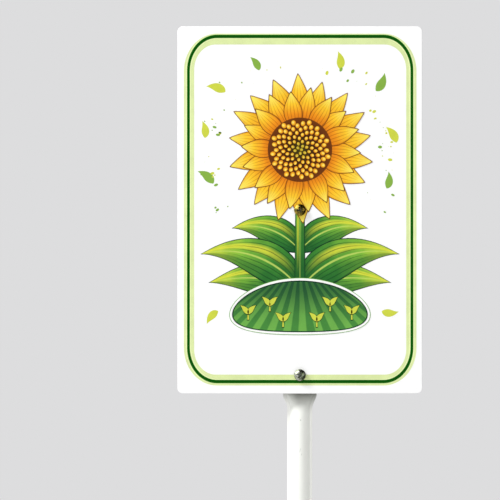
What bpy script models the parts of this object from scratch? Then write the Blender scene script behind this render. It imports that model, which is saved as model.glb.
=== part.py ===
"""Garden row sign: a rounded plastic plate screwed to a moulded ground stake.

The origin is at the small blunt end of the stake's point, the stake stands along +Z and
the front of the plate faces -Y. Metres throughout.
"""

from math import atan2, cos, pi, radians, sin

import bmesh
import bpy

MM = 0.001
INCH = 0.0254

# Touching pieces stay this far apart.
GAP = 0.3 * MM

# Sign plate.
PLATE_WIDTH = 8 * INCH
PLATE_HEIGHT = 12 * INCH
PLATE_THICKNESS = 3 * MM
PLATE_CORNER_RADIUS = 4.5 * MM
PLATE_EDGE_ROUNDING = 0.5 * MM
PLATE_HOLE_RADIUS = 2.8 * MM

# Stake: heights.
STAKE_LENGTH = 24 * INCH
POINT_HEIGHT = 18.5 * MM
FLARE_LENGTH = 38 * MM
FLAT_FRONT_END = 290 * MM
ROUND_FRONT_START = 335 * MM
UPPER_HOLE_BELOW_TOP = 22 * MM
HOLE_SPACING = 137 * MM
LEDGE_BELOW_LOWER_HOLE = 11.7 * MM
SHOULDER_BELOW_LEDGE = 4.6 * MM
SHOULDER_LENGTH = 11.5 * MM
SCOOP_LENGTH = 24 * MM

# Stake: widths, as the whole width across the moulded rim.
TIP_WIDTH = 2.6 * MM
SPADE_WIDTH = 28 * MM
SHAFT_WIDTH = 20.8 * MM
TAB_WIDTH = 28 * MM
RIM = 2 * MM
TAB_RIM = 1.8 * MM
SPADE_RIM = 0.6 * MM
RIM_HALF_THICKNESS = 1 * MM
FLAT_SHARE = 0.68
SIDE_SLOPE = 0.5 * MM
BACK_CHAMFER = 1.2 * MM

# Stake: depths before and behind the middle of the rim.
TAB_DEPTH = 6 * MM
SHAFT_FRONT_DEPTH = 6.2 * MM
SHAFT_BACK_DEPTH = 4.4 * MM
SPADE_DEPTH = 3.6 * MM
TIP_DEPTH = 1.3 * MM
SCOOP_DEPTH = 2.6 * MM
STAKE_HOLE_RADIUS = 3 * MM
SLOT_TRAVEL = 3 * MM

# Screws and nuts.
HEAD_RADIUS = 4.9 * MM
HEAD_HEIGHT = 3.1 * MM
HEAD_RIM_HEIGHT = 1.1 * MM
SHANK_RADIUS = 2.4 * MM
SHANK_LENGTH = 22 * MM
SHANK_CHAMFER = 0.5 * MM
RECESS_LENGTH = 5.2 * MM
RECESS_WIDTH = 1.3 * MM
RECESS_DEPTH = 1.9 * MM
NUT_ACROSS_FLATS = 9.5 * MM
NUT_THICKNESS = 3.2 * MM
NUT_EDGE = 0.35 * MM
SCREW_TURNS = {"upper": 20, "lower": 38}

# Heights and depths that follow from these.
UPPER_HOLE = STAKE_LENGTH - UPPER_HOLE_BELOW_TOP
LOWER_HOLE = UPPER_HOLE - HOLE_SPACING
LEDGE = LOWER_HOLE - LEDGE_BELOW_LOWER_HOLE
SHOULDER_TOP = LEDGE - SHOULDER_BELOW_LEDGE
SHOULDER_FOOT = SHOULDER_TOP - SHOULDER_LENGTH
FLARE_TOP = POINT_HEIGHT + FLARE_LENGTH
PLATE_CENTRE = UPPER_HOLE
PLATE_BACK = -TAB_DEPTH - GAP
PLATE_FRONT = PLATE_BACK - PLATE_THICKNESS
HEAD_SEAT = PLATE_FRONT - GAP
NUT_FRONT = TAB_DEPTH + GAP
HOLES = {"upper": UPPER_HOLE, "lower": LOWER_HOLE}


def clear_scene():
    for old in list(bpy.data.objects):
        bpy.data.objects.remove(old, do_unlink=True)


def new_collection(name, hidden=False):
    collection = bpy.data.collections.new(name)
    collection.hide_render = hidden
    bpy.context.scene.collection.children.link(collection)
    return collection


def new_material(name, colour, roughness, metallic=0.0):
    material = bpy.data.materials.new(name)
    material.use_nodes = True
    surface = material.node_tree.nodes["Principled BSDF"]
    surface.inputs["Base Color"].default_value = (*colour, 1.0)
    surface.inputs["Roughness"].default_value = roughness
    surface.inputs["Metallic"].default_value = metallic
    return material


def new_object(name, mesh_builder, collection, material=None):
    """Makes an object of a bmesh, which it frees."""
    mesh = bpy.data.meshes.new(name)
    bmesh.ops.recalc_face_normals(mesh_builder, faces=mesh_builder.faces)
    mesh_builder.to_mesh(mesh)
    mesh_builder.free()
    if material:
        mesh.materials.append(material)
    piece = bpy.data.objects.new(name, mesh)
    collection.objects.link(piece)
    return piece


def box(width, depth, height):
    made = bmesh.new()
    bmesh.ops.create_cube(made, size=1.0)
    bmesh.ops.scale(made, vec=(width, depth, height), verts=made.verts)
    return made


def cylinder(radius, height, segments):
    made = bmesh.new()
    bmesh.ops.create_cone(
        made, cap_ends=True, segments=segments, radius1=radius, radius2=radius, depth=height
    )
    return made


def face_forward(piece, depth, height):
    """Turns a piece's own +Z to the front, -Y, and places it on the stake's centre line."""
    piece.rotation_euler = (radians(90), 0, 0)
    piece.location = (0, depth, height)


def cut(piece, cutter):
    modifier = piece.modifiers.new("cut_" + cutter.name, "BOOLEAN")
    modifier.operation = "DIFFERENCE"
    modifier.object = cutter


def as_cutter(piece):
    piece.hide_render = True
    piece.display_type = "WIRE"
    return piece


def round_edges(piece, width, segments, angle=50):
    modifier = piece.modifiers.new("rounding", "BEVEL")
    modifier.width = width
    modifier.segments = segments
    modifier.limit_method = "ANGLE"
    modifier.angle_limit = radians(angle)


def shade_smooth(piece, angle=35):
    piece.data.shade_smooth()
    piece.data.set_sharp_from_angle(angle=radians(angle))


# --- the stake -------------------------------------------------------------------------


def ramp(value, low, high):
    """0 below low, 1 above high, and a smooth rise between them."""
    share = min(max((value - low) / (high - low), 0.0), 1.0)
    return share * share * (3 - 2 * share)


def mix(a, b, share):
    return a + (b - a) * share


def half_width(height):
    """Point, spade, flare, straight shaft, shoulder and tab."""
    if height <= POINT_HEIGHT:
        return mix(TIP_WIDTH, SPADE_WIDTH, height / POINT_HEIGHT) / 2
    flare = 1 - ramp(height, POINT_HEIGHT - FLARE_LENGTH, FLARE_TOP)
    shoulder = ramp(height, SHOULDER_FOOT, SHOULDER_TOP)
    width = SHAFT_WIDTH + 2 * flare * (SPADE_WIDTH - SHAFT_WIDTH)
    return mix(width, TAB_WIDTH, shoulder) / 2


def depths(height, tab):
    """How far the front and the back stand off the middle of the rim."""
    if tab:
        return TAB_DEPTH, TAB_DEPTH
    slim = ramp(height, POINT_HEIGHT, FLARE_TOP + FLARE_LENGTH)
    front = mix(SPADE_DEPTH, SHAFT_FRONT_DEPTH, slim)
    back = mix(SPADE_DEPTH, SHAFT_BACK_DEPTH, slim)
    if height < POINT_HEIGHT:
        front = back = mix(TIP_DEPTH, SPADE_DEPTH, height / POINT_HEIGHT)
    scoop = ramp(height, LEDGE - SCOOP_LENGTH, LEDGE)
    front = mix(front, SCOOP_DEPTH, scoop)
    back = mix(back, TAB_DEPTH, ramp(height, SHOULDER_FOOT, LEDGE))
    return front, back


def section(height, tab):
    """The outline at one height, anticlockwise from above, starting at the left of the rim."""
    wide = half_width(height)
    edge = RIM_HALF_THICKNESS * min(1.0, 0.3 + 0.7 * height / POINT_HEIGHT)
    front, back = depths(height, tab)
    if tab:
        core = wide - TAB_RIM
        flat = core - SIDE_SLOPE
        roundness = 0.0
    else:
        rim = mix(SPADE_RIM, RIM, ramp(height, POINT_HEIGHT, FLARE_TOP))
        rim *= min(1.0, height / POINT_HEIGHT)
        core = wide - max(rim, 0.1 * MM)
        slope = mix(SIDE_SLOPE, (1 - FLAT_SHARE) * core, ramp(height, POINT_HEIGHT, FLARE_TOP))
        slope = mix(slope, SIDE_SLOPE, ramp(height, SHOULDER_FOOT, LEDGE))
        flat = core - min(slope, 0.3 * core)
        roundness = ramp(height, FLAT_FRONT_END, ROUND_FRONT_START)
        roundness *= 1 - ramp(height, SHOULDER_FOOT, LEDGE)
    points = [(-wide, -edge)]
    for step in range(-FRONT_STEPS, FRONT_STEPS + 1):
        points.append(front_point(step / FRONT_STEPS, core, flat, edge, front, roundness))
    points += [(wide, -edge), (wide, edge), (core, edge)]
    chamfer = min(BACK_CHAMFER, 0.3 * core)
    points += [(core - chamfer, back), (-core + chamfer, back), (-core, edge), (-wide, edge)]
    return points


def front_point(share, core, flat, edge, front, roundness):
    """A point of the front, from -1 at its left foot to 1 at its right foot.

    A flat front has its two corners halfway to the feet. A round one is half an ellipse."""
    side = -1 if share < 0 else 1
    along = abs(share)
    if along <= 0.5:
        flat_x, flat_y = 2 * along * flat, front
    else:
        flat_x = mix(flat, core, 2 * along - 1)
        flat_y = mix(front, edge, 2 * along - 1)
    round_x = core * sin(along * pi / 2)
    round_y = edge + (front - edge) * cos(along * pi / 2)
    x = mix(flat_x, round_x, roundness)
    y = mix(flat_y, round_y, roundness)
    return side * x, -y


FRONT_STEPS = 6


def spread(low, high, count):
    return [mix(low, high, step / count) for step in range(count)]


def make_stake(collection, material):
    """A loft from the tip to the top. At the ledge two sections share one height."""
    heights = [0.0]
    heights += spread(POINT_HEIGHT, FLARE_TOP, 5)
    heights += spread(FLARE_TOP, FLAT_FRONT_END, 3)
    heights += spread(FLAT_FRONT_END, ROUND_FRONT_START, 4)
    heights += spread(ROUND_FRONT_START, LEDGE - SCOOP_LENGTH, 1)
    heights += spread(LEDGE - SCOOP_LENGTH, LEDGE, 10)
    rings = [[(x, y, height) for x, y in section(height, False)] for height in heights]
    rings.append([(x, y, LEDGE) for x, y in section(LEDGE, False)])
    for height in (LEDGE, STAKE_LENGTH):
        rings.append([(x, y, height) for x, y in section(height, True)])

    made = bmesh.new()
    loops = [[made.verts.new(point) for point in ring] for ring in rings]
    for low, high in zip(loops, loops[1:]):
        for here in range(len(low)):
            after = (here + 1) % len(low)
            made.faces.new((low[here], low[after], high[after], high[here]))
    made.faces.new(reversed(loops[0]))
    made.faces.new(loops[-1])
    bmesh.ops.remove_doubles(made, verts=made.verts, dist=0.001 * MM)
    bmesh.ops.dissolve_degenerate(made, edges=made.edges, dist=0.001 * MM)
    return new_object("stake", made, collection, material)


def make_holes(stake, cutters):
    """A round hole below and a short upright slot above, right through the tab."""
    reach = 4 * TAB_DEPTH
    for name, height in HOLES.items():
        travel = SLOT_TRAVEL if name == "upper" else 0.0
        made = cylinder(STAKE_HOLE_RADIUS, reach, 20)
        for vert in made.verts:
            vert.co.y += travel if vert.co.y > 0.01 * MM else 0.0
        cutter = as_cutter(new_object(name + "_hole", made, cutters))
        face_forward(cutter, 0, height - travel / 2)
        cut(stake, cutter)


# --- the plate -------------------------------------------------------------------------


def make_plate(collection, cutters, material):
    made = box(PLATE_WIDTH, PLATE_THICKNESS, PLATE_HEIGHT)
    corners = [
        edge
        for edge in made.edges
        if abs(edge.verts[0].co.y - edge.verts[1].co.y) > PLATE_THICKNESS / 2
    ]
    bmesh.ops.bevel(
        made,
        geom=corners,
        offset=PLATE_CORNER_RADIUS,
        offset_type="OFFSET",
        segments=6,
        profile=0.5,
        affect="EDGES",
    )
    plate = new_object("sign_plate", made, collection, material)
    plate.location = (0, (PLATE_FRONT + PLATE_BACK) / 2, PLATE_CENTRE)
    round_edges(plate, PLATE_EDGE_ROUNDING, 2)
    for name, height in HOLES.items():
        made = cylinder(PLATE_HOLE_RADIUS, 4 * PLATE_THICKNESS, 24)
        cutter = as_cutter(new_object(name + "_plate_hole", made, cutters))
        face_forward(cutter, plate.location.y, height)
        cut(plate, cutter)
    shade_smooth(plate)
    return plate


# --- screws and nuts -------------------------------------------------------------------


def head_profile():
    """The outer side of a pan-head screw, from the crown of its head down to its end."""
    crown = HEAD_HEIGHT - HEAD_RIM_HEIGHT
    radius = (HEAD_RADIUS**2 + crown**2) / (2 * crown)
    half_angle = atan2(HEAD_RADIUS, radius - crown)
    points = []
    for step in range(6):
        angle = half_angle * step / 6
        points.append((radius * sin(angle), HEAD_HEIGHT - radius * (1 - cos(angle))))
    points += [
        (HEAD_RADIUS, HEAD_RIM_HEIGHT),
        (HEAD_RADIUS - 0.1 * MM, 0.0),
        (SHANK_RADIUS, 0.0),
        (SHANK_RADIUS, SHANK_CHAMFER - SHANK_LENGTH),
        (SHANK_RADIUS - SHANK_CHAMFER, -SHANK_LENGTH),
        (0.0, -SHANK_LENGTH),
    ]
    return points


def make_screw(name, collection, cutters, material):
    made = bmesh.new()
    verts = [made.verts.new((x, 0, z)) for x, z in head_profile()]
    for above, below in zip(verts, verts[1:]):
        made.edges.new((above, below))
    screw = new_object(name + "_screw", made, collection, material)
    turned = screw.modifiers.new("turned", "SCREW")
    turned.steps = turned.render_steps = 28
    turned.use_merge_vertices = True
    turned.merge_threshold = 0.00001
    face_forward(screw, HEAD_SEAT, HOLES[name])
    for turn in (0, 90):
        cutter = recess_bar(f"{name}_recess_{turn}", cutters, SCREW_TURNS[name] + turn)
        cutter.parent = screw
        cut(screw, cutter)
    shade_smooth(screw)
    return screw


def recess_bar(name, cutters, turn):
    """One bar of the cross recess, narrower at its floor."""
    made = box(RECESS_LENGTH, RECESS_WIDTH, 2 * RECESS_DEPTH)
    floor = [vert for vert in made.verts if vert.co.z < 0]
    bmesh.ops.scale(made, vec=(0.45, 0.75, 1.0), verts=floor)
    bar = as_cutter(new_object(name, made, cutters))
    bar.location = (0, 0, HEAD_HEIGHT)
    bar.rotation_euler = (0, 0, radians(turn))
    return bar


def make_nut(name, collection, cutters, material):
    across_corners = NUT_ACROSS_FLATS / cos(pi / 6)
    made = cylinder(across_corners / 2, NUT_THICKNESS, 6)
    nut = new_object(name + "_nut", made, collection, material)
    face_forward(nut, NUT_FRONT + NUT_THICKNESS / 2, HOLES[name])
    round_edges(nut, NUT_EDGE, 1, angle=30)
    cutter = as_cutter(
        new_object(name + "_thread", cylinder(SHANK_RADIUS + GAP, 3 * NUT_THICKNESS, 28), cutters)
    )
    cutter.parent = nut
    cut(nut, cutter)
    return nut


def main():
    clear_scene()
    sign = new_collection("garden_sign")
    cutters = new_collection("cutters", hidden=True)
    plate_white = new_material("plate_white", (0.93, 0.93, 0.92), 0.35)
    stake_white = new_material("stake_white", (0.88, 0.89, 0.87), 0.5)
    steel = new_material("zinc_steel", (0.62, 0.62, 0.6), 0.25, metallic=1.0)

    make_plate(sign, cutters, plate_white)
    stake = make_stake(sign, stake_white)
    make_holes(stake, cutters)
    shade_smooth(stake)
    for name in HOLES:
        make_screw(name, sign, cutters, steel)
        make_nut(name, sign, cutters, steel)


main()
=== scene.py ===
# %% [markdown]
# # A garden sign on its stake
#
# A flat plastic plate, printed on its front, is held by two pan-head screws against the flat
# tab of a moulded white stake. The stake's shaft has a rounded front that turns flat lower
# down, and it ends in a spade point that is pushed into the soil.
#
# The measured model comes in as a fixed frame. Everything here is made around it, in metres,
# with +Z up and the front of the sign facing -Y.

# %% Load the measured model
from math import atan2, cos, pi, radians, sin
from random import Random

import bmesh
import bpy
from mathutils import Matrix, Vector


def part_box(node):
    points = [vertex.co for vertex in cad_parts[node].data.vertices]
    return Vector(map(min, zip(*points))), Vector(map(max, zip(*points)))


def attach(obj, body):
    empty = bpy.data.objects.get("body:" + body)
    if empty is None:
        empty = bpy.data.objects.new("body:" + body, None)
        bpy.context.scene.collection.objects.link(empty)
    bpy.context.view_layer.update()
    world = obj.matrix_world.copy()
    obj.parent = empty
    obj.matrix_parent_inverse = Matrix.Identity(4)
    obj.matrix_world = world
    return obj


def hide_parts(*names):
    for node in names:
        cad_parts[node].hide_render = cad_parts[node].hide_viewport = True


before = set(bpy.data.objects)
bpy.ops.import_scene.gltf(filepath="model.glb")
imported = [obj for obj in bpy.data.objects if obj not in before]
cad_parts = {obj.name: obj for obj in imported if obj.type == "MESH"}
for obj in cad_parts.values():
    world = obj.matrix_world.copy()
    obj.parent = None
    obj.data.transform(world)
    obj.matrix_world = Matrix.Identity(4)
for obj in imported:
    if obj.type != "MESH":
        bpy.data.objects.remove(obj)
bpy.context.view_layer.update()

print("nodes:", sorted(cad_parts))

# %% [markdown]
# ## Measures
#
# Places are read from the measured model and not typed again: the plate's box gives its face
# and its middle, and the screws' boxes give the heights of the two holes. The ledge, where the
# stake's tab begins, lies a little below the lower hole.

# %% Read the places
MM = 0.001

plate_low, plate_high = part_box("sign_plate")
stake_low, stake_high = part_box("stake")
plate_front = plate_low.y
plate_middle = (plate_low + plate_high) / 2
plate_half = (plate_high - plate_low) / 2
holes = {}
for which in ("upper", "lower"):
    low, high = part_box(which + "_screw")
    holes[which] = (low.z + high.z) / 2
LEDGE = holes["lower"] - 11.7 * MM
print("plate face at y =", round(plate_front, 5), "screw heights", holes)

# %% [markdown]
# ## The camera
#
# The sign is seen straight on from far away through a long lens, so that its edges stay
# parallel. The view is wider than the plate, which stands in its upper right part, and the
# stake runs out of the bottom of the picture.

# %% Place the camera
VIEW_WIDTH = 415 * MM
VIEW_LEFT_OF_PLATE = 41.45 * MM
VIEW_BELOW_PLATE = 33.2 * MM
LENS = 240
SENSOR = 36

place = (
    plate_middle.x - VIEW_LEFT_OF_PLATE,
    plate_front - VIEW_WIDTH * LENS / SENSOR,
    plate_middle.z - VIEW_BELOW_PLATE,
)
bpy.ops.object.camera_add(location=place, rotation=(radians(90), 0, 0))
camera = bpy.context.object
camera.data.lens = LENS
camera.data.sensor_width = SENSOR
bpy.context.scene.camera = camera
print("camera", round(plate_front - camera.location.y, 3), "m in front of the plate")

# %% [markdown]
# ## Helpers for modelling as by hand
#
# An operator acts on whatever is selected, so each piece starts from a clean selection. Faces
# and edges are then picked by a test on their place or direction, in place of a mouse.

# %% Selection


def clean_start():
    """Back to object mode with nothing selected."""
    if bpy.context.mode != "OBJECT":
        bpy.ops.object.mode_set(mode="OBJECT")
    bpy.ops.object.select_all(action="DESELECT")


def choose(*pieces):
    clean_start()
    for piece in pieces:
        piece.select_set(True)
    bpy.context.view_layer.objects.active = pieces[0]


def edit(piece, kind="VERT", action="DESELECT"):
    """Opens a piece in edit mode with nothing selected, or with all of it."""
    choose(piece)
    bpy.ops.object.mode_set(mode="EDIT")
    bpy.ops.mesh.select_mode(type=kind)
    bpy.ops.mesh.select_all(action=action)


def pick(kind, test):
    """Selects the verts, edges or faces that pass a test, and says how many there are."""
    mesh = bmesh.from_edit_mesh(bpy.context.object.data)
    chosen = [item for item in getattr(mesh, kind) if test(item)]
    for item in chosen:
        item.select_set(True)
    mesh.select_flush_mode()
    bmesh.update_edit_mesh(bpy.context.object.data)
    return len(chosen)


# %% Pieces


def named(name):
    """Names the object that an operator has just made."""
    piece = bpy.context.object
    piece.name = piece.data.name = name
    return piece


def round_sheet(name, radius, corners, height=0.0):
    """A filled circle that lies flat."""
    clean_start()
    bpy.ops.mesh.primitive_circle_add(
        vertices=corners, radius=radius, fill_type="NGON", location=(0, 0, height)
    )
    return named(name)


def modify(piece, kind, **settings):
    """Adds a modifier with these settings and applies it."""
    choose(piece)
    modifier = piece.modifiers.new(kind.lower(), kind)
    for setting, value in settings.items():
        setattr(modifier, setting, value)
    bpy.ops.object.modifier_apply(modifier=modifier.name)


def settle(piece, angle=30):
    """Puts the piece's place into its mesh and shades it smooth between sharp edges."""
    choose(piece)
    bpy.ops.object.transform_apply(location=True, rotation=True, scale=True)
    bpy.ops.object.shade_smooth_by_angle(angle=radians(angle))
    return piece


def twin(piece, name):
    """A copy with a mesh of its own."""
    choose(piece)
    bpy.ops.object.duplicate(linked=False)
    return named(name)


def join(name, *pieces):
    choose(*pieces)
    if len(pieces) > 1:
        bpy.ops.object.join()
    return named(name)


def discard(piece):
    bpy.data.objects.remove(piece, do_unlink=True)


def stand(piece, place, angle=30):
    """Stands a piece upright at its place, with what was its top facing the front."""
    piece.rotation_euler.x = radians(90)
    piece.location = place
    return settle(piece, angle)


def carve(piece, tool, operation="DIFFERENCE"):
    """Cuts a piece with another one, which is then gone."""
    modify(piece, "BOOLEAN", operation=operation, object=tool)
    discard(tool)


def coat(piece, material):
    """Gives a piece this material and no other."""
    piece.data.materials.clear()
    piece.data.materials.append(material)


def keep(piece, slot, *stands_for):
    """A piece rides on the one body and hides the parts it stands for; the slot is not used."""
    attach(piece, "root")
    for node in stands_for:
        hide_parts(node)
    print(piece.name, "with", len(piece.data.polygons), "faces")


def drill(piece, radius, place, depth, corners=44, travel=0.0):
    """Bores a hole along Y. With travel, the hole is an upright slot."""
    clean_start()
    bpy.ops.mesh.primitive_cylinder_add(
        vertices=corners, radius=radius, depth=depth, location=place, rotation=(radians(90), 0, 0)
    )
    bit = named("drill")
    if travel:
        settle(bit)
        edit(bit)
        pick("verts", lambda vert: vert.co.z > place[2])
        bpy.ops.transform.translate(value=(0, 0, travel / 2))
        bpy.ops.mesh.select_all(action="INVERT")
        bpy.ops.transform.translate(value=(0, 0, -travel / 2))
        clean_start()
    carve(piece, bit)


# %% [markdown]
# ## Shader maths as expressions
#
# A surface's colour is worked out with nodes. Wiring each Math node by hand would hide the
# idea, so a small class wraps a socket and lets Python's operators add the nodes: `1 - mask`
# is then one Subtract node. All operators are alike, so one function makes them, and every
# other node comes from one method.

# %% A value that varies from place to place


def operator(operation, swapped=False):
    """What a Python operator does with values: it adds a Math node."""
    return lambda value, *others: value.math(operation, *others, swapped=swapped)


class Value:
    """A socket in a node tree, for use in expressions."""

    __add__ = __radd__ = operator("ADD")
    __sub__ = operator("SUBTRACT")
    __rsub__ = operator("SUBTRACT", swapped=True)
    __mul__ = __rmul__ = operator("MULTIPLY")
    __truediv__ = operator("DIVIDE")
    __pow__ = operator("POWER")
    __abs__ = operator("ABSOLUTE")

    def __init__(self, nodes, socket):
        self.nodes = nodes
        self.socket = socket

    def math(self, operation, *others, swapped=False):
        values = (*others, self) if swapped else (self, *others)
        return self.nodes.node("Math", {"operation": operation}, dict(enumerate(values)))

    def rise(self, low, high, bottom=0.0, top=1.0):
        """Goes smoothly from bottom to top as the value goes from low to high."""
        sockets = ("Value", "From Min", "From Max", "To Min", "To Max")
        inputs = dict(zip(sockets, (self, low, high, bottom, top)))
        return self.nodes.node("MapRange", {"interpolation_type": "SMOOTHSTEP"}, inputs)


# %% A tree of nodes


class Nodes:
    """Adds nodes to a tree."""

    def __init__(self, tree):
        self.tree = tree

    def node(self, kind, settings=None, inputs=None, output=0):
        """Adds a node: its settings first, then the values or links of its sockets."""
        made = self.tree.nodes.new("ShaderNode" + kind)
        for setting, value in (settings or {}).items():
            if setting == "stops":
                self.set_stops(made.color_ramp.elements, value)
            else:
                setattr(made, setting, value)
        for socket, value in (inputs or {}).items():
            self.feed(made.inputs[socket], value)
        return Value(self, made.outputs[output])

    def set_stops(self, elements, stops):
        """Sets a ramp's stops, from pairs of a place and a colour."""
        while len(elements) < len(stops):
            elements.new(1.0)
        for element, (place, colour) in zip(elements, stops):
            element.position = place
            element.color = (*colour, 1.0)

    def feed(self, socket, value):
        if isinstance(value, Value):
            self.tree.links.new(value.socket, socket)
        elif socket.type == "RGBA":
            socket.default_value = (*value, 1.0)
        else:
            socket.default_value = value

    def blend(self, share, first, second):
        """The colour between two, by share."""
        inputs = {0: share, 6: first, 7: second}
        return self.node("Mix", {"data_type": "RGBA"}, inputs, 2)

    def coats(self, colour, *coats):
        """A colour under coats of others, each laid on by its share."""
        for share, coat_colour in coats:
            colour = self.blend(share, colour, coat_colour)
        return colour


# %% A finish


class Finish(Nodes):
    """A material with a Principled surface."""

    def __init__(self, name):
        self.material = bpy.data.materials.new(name)
        self.material.use_nodes = True
        super().__init__(self.material.node_tree)
        self.surface = self.tree.nodes["Principled BSDF"]

    def set(self, **inputs):
        """Feeds the surface's sockets, with _ for each space in their names."""
        for name, value in inputs.items():
            self.feed(self.surface.inputs[name.replace("_", " ")], value)
        return self.material

    def parts(self, point, count):
        """The first numbers of a vector."""
        return [self.node("SeparateXYZ", None, {0: point}, axis) for axis in range(count)]

    def place(self):
        """The point's x, y and z in metres."""
        return self.parts(self.node("TexCoord", output="Object"), 3)

    def unwrapped(self):
        """The place along and across a shape that was drawn from a grid, from 0 to 1."""
        return self.parts(self.node("UVMap", {"uv_map": "UVMap"}), 2)

    def noise(self, scale, detail=2.0, stretch=(1, 1, 1)):
        """Cloudy noise around 0.5, with scale in spots per metre."""
        point = self.node("TexCoord", output="Object")
        point = self.node("VectorMath", {"operation": "MULTIPLY"}, {0: point, 1: stretch})
        inputs = {"Vector": point, "Scale": scale, "Detail": detail}
        return self.node("TexNoise", None, inputs, "Fac")

    def ramp(self, share, *stops):
        """The colour at a share along a row of colours."""
        return self.node("ValToRGB", {"stops": stops}, {"Fac": share})

    def relief(self, height, distance, strength):
        """A normal bent by a height from 0 to 1 that stands this many metres."""
        inputs = {"Height": height, "Distance": distance, "Strength": strength}
        return self.node("Bump", None, inputs)


def screen(red, green, blue):
    """A colour as read from a screen, 0 to 255, as the linear light that nodes use."""
    shares = [level / 255 for level in (red, green, blue)]
    return tuple(s / 12.92 if s < 0.04045 else ((s + 0.055) / 1.055) ** 2.4 for s in shares)


print("a mid grey is", round(screen(128, 128, 128)[0], 3), "as light")

# %% [markdown]
# ## Studio
#
# The world is a soft light tent, bright in front and dim behind, and a large soft lamp at the
# upper left is the key light: together they give the white plastic its form. Polished metal
# shows what it mirrors, so reflections see another tent, which a photographer would build round
# a screw: nearly dark, with a bright panel at the upper left and a weaker window at the right.
# The lamp is hidden from reflections, where the panel stands for it. The camera itself sees one
# plain pale tone.

# %% Hang the light tent
BACKDROP = screen(221, 221, 222)
TENT_LIGHTS = (
    # the direction it comes from, least and most light, where it begins and is full
    ((-0.2, -0.9, 0.3), 0.2, 0.85, -0.7, 0.9),  # the tent that lights the sign
    ((-0.85, 0, -0.35), 0.01, 0.6, -0.6, 0.8),  # the nearly dark one that reflections see
    ((-0.59, -0.56, 0.58), 0, 2.4, 0.88, 0.97),  # the panel
    ((0.6, -0.75, 0.1), 0, 0.6, 0.93, 0.98),  # the window
)

world = bpy.data.worlds.new("light_tent")
world.use_nodes = True
bpy.context.scene.world = world
bpy.context.scene.view_settings.view_transform = "Standard"
bpy.context.scene.view_settings.look = "None"
tent = Nodes(world.node_tree)


def tent_light(towards, least, most, start, full):
    """The tent's light, which grows towards a direction."""
    inputs = {0: tent.node("TexCoord", output="Generated"), 1: Vector(towards).normalized()}
    facing = tent.node("VectorMath", {"operation": "DOT_PRODUCT"}, inputs, "Value")
    return facing.rise(start, full, least, most)


soft, dark, panel, window = (tent_light(*light) for light in TENT_LIGHTS)
in_mirror = tent.node("LightPath", output="Is Glossy Ray")
in_camera = tent.node("LightPath", output="Is Camera Ray")
light = tent.coats(soft, (in_mirror, dark + panel + window), (in_camera, BACKDROP))
tent.feed(tent.tree.nodes["Background"].inputs["Color"], light)
print("tent of", len(TENT_LIGHTS), "lights")

# %% Set up the key light
KEY_PLACE = Vector((-3.44, -1.36, 4.2))
KEY_AIM = Vector((0, 0, plate_middle.z - 100 * MM))
KEY_SIZE = 1.2
KEY_WATTS = 285

turn = (KEY_AIM - KEY_PLACE).to_track_quat("-Z", "Y").to_euler()
bpy.ops.object.light_add(type="AREA", location=KEY_PLACE, rotation=turn)
key = bpy.context.object
key.data.shape = "DISK"
key.data.size = KEY_SIZE
key.data.energy = KEY_WATTS
key.visible_glossy = False
print("key light", round((KEY_AIM - KEY_PLACE).length, 2), "m from the sign")

# %% [markdown]
# The floor is one round sheet of pale card. It fades to clear towards its edge, so that no
# horizon line cuts through the picture.

# %% Lay the floor
FLOOR_RADIUS = 2.6
FADE_START = 0.9
FADE_END = FLOOR_RADIUS - 0.05

floor = round_sheet("floor", FLOOR_RADIUS, 96)
floor_finish = Finish("pale_floor")
x, y, z = floor_finish.place()
reach = (x * x + y * y) ** 0.5
mottle = floor_finish.noise(3.0, 3.0)
card_colour = floor_finish.blend(mottle, (0.74, 0.74, 0.745), (0.78, 0.78, 0.785))
fade = reach.rise(FADE_END, FADE_START)
coat(floor, floor_finish.set(Base_Color=card_colour, Roughness=0.9, Alpha=fade))
floor.visible_glossy = False
print("floor", 2 * FLOOR_RADIUS, "m across")

# %% [markdown]
# ## White plastics
#
# Sheet plastic is very even: a faint mottle in its gloss, a texture too fine to see singly,
# and edges that were cut and stay a little duller than the faces.

# %% Plate plastic
EDGE_WEAR = 0.9 * MM
EDGE_WORN = 0.1 * MM

plate_finish = Finish("plate_white")
x, y, z = plate_finish.place()
edge_x = abs(x).rise(plate_half.x - EDGE_WEAR, plate_half.x - EDGE_WORN)
edge_z = abs(z - plate_middle.z).rise(plate_half.z - EDGE_WEAR, plate_half.z - EDGE_WORN)
cut_edge = edge_x.math("MAXIMUM", edge_z)
mottle = plate_finish.noise(45, 4.0)
skin = plate_finish.noise(2600, 1.0)
white = plate_finish.blend(mottle, (0.915, 0.915, 0.915), (0.945, 0.945, 0.94))
plate_finish.set(
    Base_Color=plate_finish.blend(cut_edge * 0.6, white, (0.86, 0.865, 0.865)),
    Roughness=0.3 + 0.1 * mottle + 0.25 * cut_edge,
    Normal=plate_finish.relief(skin, 0.012 * MM, 0.5),
)
print("finish:", plate_finish.material.name)

# %% [markdown]
# Moulded plastic shows more of how it was made: flow lines along the stake, fine grain, a few
# dark specks, and scuffs from handling. The scuffs have a place, so they are ovals at named
# spots and not noise. The rim along the stake's sides is painted paler, a painted highlight.
# Below the ledge lies a painted shadow of the plate and the ledge, lower down on the right than
# on the left, and soil has stained the point.

# %% Scuffs on the stake
SCUFFS = (
    # across, height, length and width in mm, lean in degrees
    (0.5, 413.0, 1.6, 1.3, 0),
    (0.2, 388.0, 4.6, 0.5, 18),
    (1.4, 384.5, 2.0, 0.6, 8),
    (0.9, 243.0, 2.4, 1.5, 30),
    (-4.5, 196.0, 5.0, 0.4, -12),
    (3.5, 120.0, 3.2, 0.5, 22),
    (-2.0, 66.0, 6.0, 0.45, -35),
    (2.6, 37.0, 4.0, 0.5, 50),
)

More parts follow.
